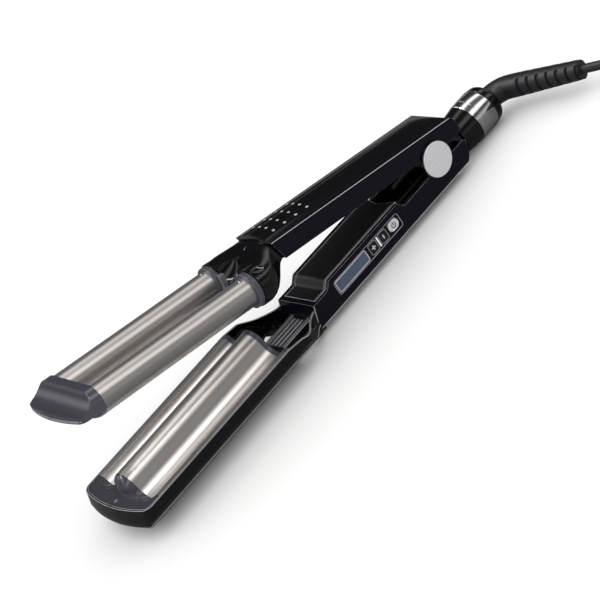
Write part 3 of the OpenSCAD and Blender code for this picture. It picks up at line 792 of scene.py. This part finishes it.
AT_CORD = Matrix.Translation((0, 0, CORD_Z))
sleeve_profile = [(-16, 6), (-16, 9), (-25, 9), (-26, 9.4), (-26.4, 11.8), (-38.6, 12.9),
                  (-39.4, 12.9), (-39.4, 11.4), (-53.2, 11.4), (-53.2, 8.1), (-37.5, 8.1),
                  (-37.5, 6)]
collar_profile = [(-39.5, 11.45), (-39.5, 12.9), (-39.9, 13.2), (-44.0, 13.2), (-44.15, 13.05),
                  (-44.45, 13.05), (-44.6, 13.2), (-53.3, 13.2), (-53.8, 12.9), (-53.8, 11.45)]
swivel_profile = [(-31, 0.01), (-31, 2.3), (-42.4, 2.3), (-42.4, 8), (-54.1, 8), (-54.1, 12.6),
                  (-54.5, 12.9), (-57.6, 12.3), (-58.4, 12.1), (-60.0, 10.9), (ELBOW_X, 9.6),
                  (ELBOW_X, 5.2), (-46, 5.2), (-46, 0.01)]
piece("rear_sleeve", lathe(sleeve_profile, AT_CORD), [GLOSS], LOWER, "lower_arm",
      ("collar_sleeve",))
piece("bright_collar", lathe(collar_profile, AT_CORD, 128), [CHROME], LOWER, "lower_arm",
      ("chrome_ring",))
piece("rear_cap", lathe(swivel_profile, AT_CORD), [GLOSS], LOWER, "cord_swivel",
      ("swivel_cap",))


def cord_path(s):
    """Centre and direction of the cord at arc length s from the swivel."""
    a = min(max(s, 0.0), ELBOW_END) / ELBOW_R
    p = Vector((ELBOW_X - ELBOW_R * math.sin(a), ELBOW_R - ELBOW_R * math.cos(a), CORD_Z))
    run = Vector((-math.cos(a), math.sin(a), 0))
    if s < 0:
        p.x -= s
    if s > ELBOW_END:
        p += run * (s - ELBOW_END)
    return p, run


def swept(stations, radius, sides=48):
    """Skin circles of radius(s, angle) along the cord path."""
    rings = []
    for s in stations:
        p, run = cord_path(s)
        side = Vector((0, 0, 1)).cross(run)
        rings.append([p + radius(s, a) * (math.cos(a) * side + math.sin(a) * Vector((0, 0, 1)))
                      for a in (2 * math.pi * k / sides for k in range(sides))])
    return loft(rings)


def relief_radius(s, a):
    """Smooth elbow, then ribs whose slots leave a spine above and below."""
    if s < RELIEF_START:
        return RELIEF_R[0]
    rib = lerp(*RELIEF_R, (s - RELIEF_START) / (RELIEF_END - RELIEF_START))
    phase = ((s - RELIEF_START) % RIB_PITCH) / RIB_PITCH
    slot = smoothstep((phase - 0.04) / 0.08) * smoothstep((0.38 - phase) / 0.08)
    spine = smoothstep((abs(math.cos(a)) - 0.35) / 0.2)
    return rib - SLOT_DEPTH * slot * spine


relief_stations = ([-6.0] + [RELIEF_START * i / 24 for i in range(25)]
                   + [RELIEF_START + 0.24 * i for i in range(1, 176)])
piece("cord_relief", swept(relief_stations, relief_radius, 64), [CORD], LOWER, "cord_swivel",
      ("strain_relief",), sharp=50)


def cord_radius(s, a):
    """Plain round cord with its cut end chamfered."""
    return CORD_R if s < CORD_END else CORD_R - 0.4


cord_stations = [RELIEF_END - 6, RELIEF_END, CORD_END - 0.4, CORD_END]
piece("cord", swept(cord_stations, cord_radius), [CORD], LOWER, "cord_swivel",
      ("power_cord",), sharp=50)

# ---- hinge discs ----

disc_profile = [(17.15, 0.01), (17.15, 10.4), (18.4, 10.4), (18.65, 10.1), (18.65, 0.01)]
for side, label in ((1, "left"), (-1, "right")):
    outward = Matrix.Rotation(side * math.radians(90), 4, "Z")
    piece("disc_" + label, lathe(disc_profile, outward, 128), [BRUSHED], LOWER, "lower_arm",
          ("pivot_disc_" + label,), sharp=30)

# ---- refined copies of the CAD parts ----

# bevel faces in slot 1 take the light grey painted edge highlight, or silver trim on the keys and
# lens
refined("lower_side_frame", [SIDE, EDGE_HIGHLIGHT_AND_TRIM], "lower_arm", bevel=0.30, edge=1)
refined("lower_bottom_cover", [GLOSS, EDGE_HIGHLIGHT_AND_TRIM], "lower_arm", bevel=0.25, edge=1)
refined("lower_inner_cover", [SATIN, EDGE_HIGHLIGHT_AND_TRIM], "lower_arm", bevel=0.30, edge=1)
refined("upper_side_frame", [SIDE, EDGE_HIGHLIGHT_AND_TRIM], "upper_arm", bevel=0.30, edge=1)
refined("upper_top_cover", [GLOSS, EDGE_HIGHLIGHT_AND_TRIM], "upper_arm", bevel=0.25, edge=1)
refined("upper_inner_cover", [SATIN, EDGE_HIGHLIGHT_AND_TRIM], "upper_arm", bevel=0.25)
refined("neck_bridge", [SATIN, EDGE_HIGHLIGHT_AND_TRIM], "lower_arm", bevel=0.25, edge=1)
refined("control_bezel", [GLOSS, EDGE_HIGHLIGHT_AND_TRIM], "lower_arm", bevel=0.12)
refined("display_lens", [LCD, MARK], "lower_arm", bevel=0.35, edge=1)
refined("disc_rings", [GLOSS, EDGE_HIGHLIGHT_AND_TRIM], "lower_arm", bevel=0.15)
refined("divider_bar", [WHITE], "lower_arm", bevel=0.1)
refined("cap_screw", [STEEL], "lower_arm", bevel=0.1)
refined("yoke_post", [POST], "upper_arm", bevel=0.4)
for key, finish in (("plus_button", SATIN), ("minus_button", SATIN), ("power_button", MARK)):
    refined(key, [finish, MARK], key.replace("_button", "_key"), bevel=0.22, edge=1)

INSIDE = {
    "display_module": BOARD, "control_board": BOARD, "key_switches": STEEL,
    "plate_heater": CERAMIC, "heater_clamp": STEEL, "insulation_sheet": MICA,
    "thermal_sensor": WIRE, "pivot_pin": STEEL, "torsion_spring": STEEL, "lower_wiring": WIRE,
    "lower_screws": STEEL, "slip_rings": BRASS, "heater_carriers": STEEL,
    "barrel_heaters": CERAMIC, "barrel_sensor": WIRE, "pivot_bushes": BRASS,
    "upper_screws": STEEL, "upper_wiring": WIRE,
}
for node, mat in INSIDE.items():
    finish_node(node, mat)

# ---- floor, light, camera ----


def area_light(name, place, target, size, size_y, energy):
    data = bpy.data.lights.new(name, "AREA")
    data.shape = "RECTANGLE"
    data.size, data.size_y, data.energy = size, size_y, energy
    obj = bpy.data.objects.new(name, data)
    bpy.context.scene.collection.objects.link(obj)
    obj.location = place
    obj.rotation_euler = (Vector(target) - Vector(place)).to_track_quat("-Z", "Y").to_euler()
    return obj


def dimmed_for_reflections(tree, shader_name, bright, dim):
    """Colour that is bright to the eye and dim in glossy reflections, as a dark studio would be."""
    path = tree.nodes.new("ShaderNodeLightPath")
    mix = tree.nodes.new("ShaderNodeMix")
    mix.data_type = "RGBA"
    mix.inputs["A"].default_value = (*bright, 1)
    mix.inputs["B"].default_value = (*dim, 1)
    tree.links.new(path.outputs["Is Glossy Ray"], mix.inputs["Factor"])
    tree.links.new(mix.outputs["Result"], tree.nodes[shader_name].inputs[0])


floor_bm = bmesh.new()
bmesh.ops.create_grid(floor_bm, x_segments=8, y_segments=8, size=4)
floor_mesh = bpy.data.meshes.new("floor")
floor_bm.to_mesh(floor_mesh)
floor_bm.free()
floor_mat = bpy.data.materials.new("floor_white")
floor_mat.use_nodes = True
floor_mat.node_tree.nodes["Principled BSDF"].inputs["Roughness"].default_value = 0.9
floor_mat.node_tree.nodes["Principled BSDF"].inputs["Specular IOR Level"].default_value = 0.1
dimmed_for_reflections(floor_mat.node_tree, "Principled BSDF", (0.97, 0.97, 0.97),
                       (0.20, 0.20, 0.205))
floor_mesh.materials.append(floor_mat)
floor = bpy.data.objects.new("floor", floor_mesh)
bpy.context.scene.collection.objects.link(floor)
floor.location.z = cad_box[0][2] - 0.0002



def glow(tree, value, centre, half_width, strength):
    """Light that peaks where value meets centre and fades out half_width away."""
    nodes, links = tree.nodes, tree.links
    offset = nodes.new("ShaderNodeMath")
    offset.operation = "SUBTRACT"
    links.new(value, offset.inputs[0])
    offset.inputs[1].default_value = centre
    distance = nodes.new("ShaderNodeMath")
    distance.operation = "ABSOLUTE"
    links.new(offset.outputs["Value"], distance.inputs[0])
    fade = nodes.new("ShaderNodeMapRange")
    fade.interpolation_type = "SMOOTHSTEP"
    fade.inputs["From Max"].default_value = half_width
    fade.inputs["To Min"].default_value = strength
    fade.inputs["To Max"].default_value = 0.0
    links.new(distance.outputs["Value"], fade.inputs["Value"])
    return fade.outputs["Result"]


def combine(tree, operation, a, b):
    node = tree.nodes.new("ShaderNodeMath")
    node.operation = operation
    for socket, value in zip(node.inputs, (a, b)):
        if isinstance(value, float):
            socket.default_value = value
        else:
            tree.links.new(value, socket)
    return node.outputs["Value"]


def studio_world():
    """White to the eye and to matt surfaces; reflections see soft strips in a dark room."""
    world = bpy.data.worlds.new("studio")
    world.use_nodes = True
    tree = world.node_tree
    nodes, links = tree.nodes, tree.links
    coords = nodes.new("ShaderNodeTexCoord")
    split = nodes.new("ShaderNodeSeparateXYZ")
    links.new(coords.outputs["Generated"], split.inputs["Vector"])
    lean = combine(tree, "ARCTAN2", split.outputs["Y"], split.outputs["Z"])
    total = combine(tree, "ADD", glow(tree, lean, 0.0, 1.15, ROOM), 0.03)
    for degrees, half_width, strength in STRIPS:
        strip = glow(tree, lean, math.radians(degrees), math.radians(half_width), strength)
        total = combine(tree, "ADD", total, strip)
    tip_lean = glow(tree, lean, math.radians(-52), math.radians(26), TIP_LIGHT)
    tip = combine(tree, "MULTIPLY", tip_lean, glow(tree, split.outputs["X"], 0.35, 0.42, 1.0))
    total = combine(tree, "ADD", total, tip)
    path = nodes.new("ShaderNodeLightPath")
    pick = nodes.new("ShaderNodeMix")
    pick.inputs["A"].default_value = 1.16
    links.new(path.outputs["Is Glossy Ray"], pick.inputs["Factor"])
    links.new(total, pick.inputs["B"])
    links.new(pick.outputs["Result"], nodes["Background"].inputs["Strength"])
    nodes["Background"].inputs["Color"].default_value = (1.0, 0.995, 0.99, 1)
    bpy.context.scene.world = world


studio_world()

VIEW_AZIMUTH = math.radians(155.8)
VIEW_ELEVATION = math.radians(28.55)
VIEW_ROLL = math.radians(-36.2)
VIEW_TARGET = Vector((0.1151, 0.0044, 0.0209))
VIEW_DISTANCE = 1.223

right0 = Vector((math.cos(VIEW_AZIMUTH), math.sin(VIEW_AZIMUTH), 0))
back = Vector((math.sin(VIEW_AZIMUTH) * math.cos(VIEW_ELEVATION),
               -math.cos(VIEW_AZIMUTH) * math.cos(VIEW_ELEVATION), math.sin(VIEW_ELEVATION)))
up0 = back.cross(right0)
right = math.cos(VIEW_ROLL) * right0 + math.sin(VIEW_ROLL) * up0
up = back.cross(right)
camera_data = bpy.data.cameras.new("camera")
camera_data.lens = 132
camera_data.sensor_width = 36
camera = bpy.data.objects.new("camera", camera_data)
bpy.context.scene.collection.objects.link(camera)
turn = Matrix((right, up, back)).transposed().to_4x4()
camera.matrix_world = Matrix.Translation(VIEW_TARGET + back * VIEW_DISTANCE) @ turn
bpy.context.scene.camera = camera

centre = Vector((0.13, 0, 0.04))
for lamp in (area_light("key", (0.05, 0.20, 1.10), centre, 0.10, 0.9, 5),
             area_light("edge", (0.45, -0.55, 0.95), centre, 0.9, 0.06, 3)):
    lamp.visible_diffuse = False

scene = bpy.context.scene
scene.view_settings.view_transform = "Standard"
